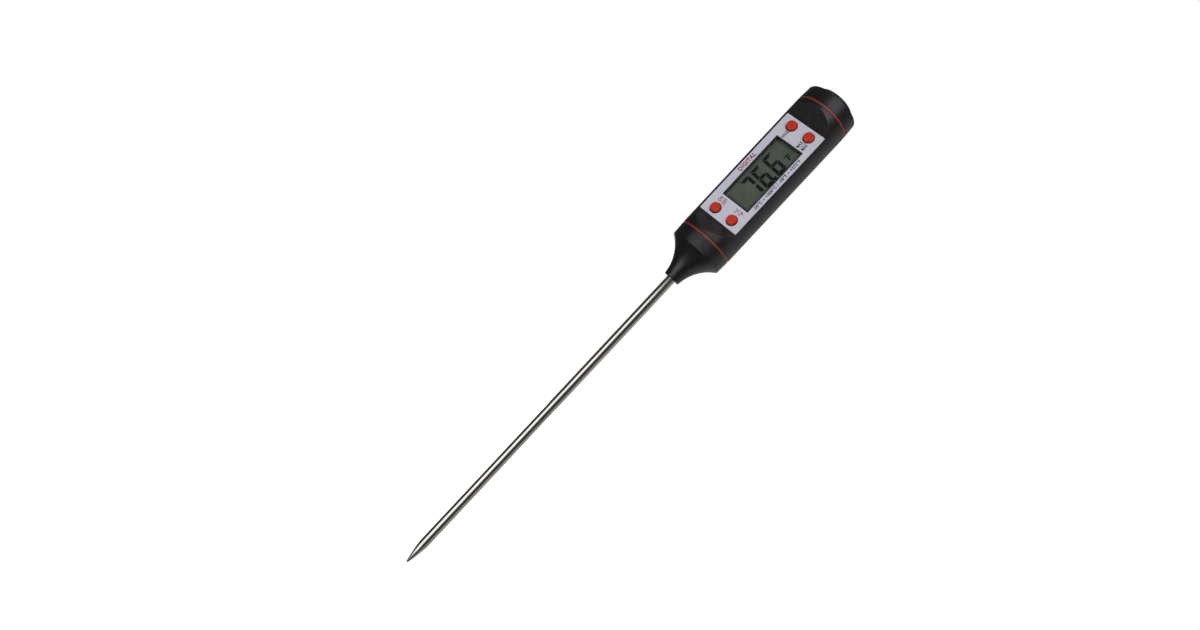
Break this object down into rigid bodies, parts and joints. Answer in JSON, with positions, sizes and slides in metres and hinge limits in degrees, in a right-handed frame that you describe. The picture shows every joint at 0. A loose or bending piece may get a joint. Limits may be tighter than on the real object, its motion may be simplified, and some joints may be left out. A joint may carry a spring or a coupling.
{
  "type": "soil thermometer probe",
  "caption": "Digital soil thermometer with a pointed steel stem, a round black handle, a flat display face, red push buttons and a screw-in battery door.",
  "frame": {"origin": "on the stem's axis, where the stem leaves the nose of the handle", "axes": "+Z along the stem towards the end cap, so the point is at -Z; -Y out of the display face; +X to the right when looking at the display with the cap up"},
  "size_m": [0.023, 0.023, 0.2397],
  "materials": {
    "stem_steel": "polished tube",
    "tip_steel": "polished, turned point",
    "brass": "turned",
    "sensor_epoxy": "glossy bead",
    "potting_resin": "cast resin",
    "red_insulation": "smooth wire insulation",
    "white_insulation": "smooth wire insulation",
    "black_insulation": "smooth wire insulation",
    "black_sleeve": "shrunk sleeve",
    "nose_plastic": "fine satin moulding",
    "shell_plastic": "fine satin moulding",
    "cap_plastic": "fine satin moulding",
    "door_plastic": "fine satin moulding",
    "ring_plastic": "satin coloured ring",
    "button_plastic": "satin moulded buttons",
    "label_film": "printed silver film",
    "lens_clear": "clear pane",
    "lcd_face": "grey-green liquid crystal face",
    "lcd_glass": "clear glass",
    "reflector_foil": "satin foil",
    "frame_plastic": "moulded frame",
    "white_foam": "closed-cell foam",
    "zebra_rubber": "layered conductive rubber",
    "board_green": "solder mask over glass fibre",
    "controller_epoxy": "cured epoxy drop",
    "can_metal": "drawn can",
    "chip_ceramic": "ceramic blocks",
    "screw_steel": "zinc plated",
    "switch_plastic": "moulded switch",
    "plunger_plastic": "moulded plunger",
    "cradle_plastic": "moulded cradle",
    "cell_steel": "nickel plated",
    "contact_metal": "plated spring strip",
    "seal_rubber": "smooth rubber"
  },
  "bodies": {
    "handle": {"stem_tube": "stem_steel", "stem_tip": "tip_steel", "stem_ferrule": "brass", "thermistor_bead": "sensor_epoxy", "thermistor_potting": "potting_resin", "lead_wire_a": "red_insulation", "lead_wire_b": "white_insulation", "lead_sleeve": "black_sleeve", "nose_cone": "nose_plastic", "lower_ring": "ring_plastic", "front_shell": "shell_plastic", "rear_shell": "shell_plastic", "upper_ring": "ring_plastic", "end_cap": "cap_plastic", "battery_cradle": "cradle_plastic", "button_cell": "cell_steel", "positive_contact": "contact_metal", "negative_contact": "contact_metal", "battery_wire_red": "red_insulation", "battery_wire_black": "black_insulation", "face_label": "label_film", "display_lens": "lens_clear", "display_frame": "frame_plastic", "lcd_polarizer": "lcd_face", "lcd_front_glass": "lcd_glass", "lcd_rear_glass": "lcd_glass", "lcd_reflector": "reflector_foil", "lcd_foam_pad": "white_foam", "zebra_strip_left": "zebra_rubber", "zebra_strip_right": "zebra_rubber", "circuit_board": "board_green", "controller_blob": "controller_epoxy", "crystal_can": "can_metal", "chip_components": "chip_ceramic", "board_screws": "screw_steel", "power_switch_base": "switch_plastic", "units_switch_base": "switch_plastic", "hold_switch_base": "switch_plastic", "max_min_switch_base": "switch_plastic"},
    "power_key": {"power_button": "button_plastic", "power_switch_plunger": "plunger_plastic"},
    "units_key": {"units_button": "button_plastic", "units_switch_plunger": "plunger_plastic"},
    "hold_key": {"hold_button": "button_plastic", "hold_switch_plunger": "plunger_plastic"},
    "max_min_key": {"max_min_button": "button_plastic", "max_min_switch_plunger": "plunger_plastic"},
    "door_seal": {"door_o_ring": "seal_rubber"},
    "door": {"battery_door": "door_plastic"}
  },
  "joints": [
    {"name": "power_press", "type": "slide", "parent": "handle", "child": "power_key", "axis": [0, 1, 0], "range_m": [0, 0.0005], "stiffness_N_per_m": 1500},
    {"name": "units_press", "type": "slide", "parent": "handle", "child": "units_key", "axis": [0, 1, 0], "range_m": [0, 0.0005], "stiffness_N_per_m": 1500},
    {"name": "hold_press", "type": "slide", "parent": "handle", "child": "hold_key", "axis": [0, 1, 0], "range_m": [0, 0.0005], "stiffness_N_per_m": 1500},
    {"name": "max_min_press", "type": "slide", "parent": "handle", "child": "max_min_key", "axis": [0, 1, 0], "range_m": [0, 0.0005], "stiffness_N_per_m": 1500},
    {"name": "door_lift", "type": "slide", "parent": "handle", "child": "door_seal", "axis": [0, 0, 1], "range_m": [0, 0.003]},
    {"name": "door_turn", "type": "hinge", "parent": "door_seal", "child": "door", "pos_m": [0, 0, 0.0902], "axis": [0, 0, 1], "range_deg": [0, 1080]}
  ],
  "couplings": [
    {"joint": "door_turn", "follows": "door_lift", "rad_per_m": 6283.2}
  ]
}
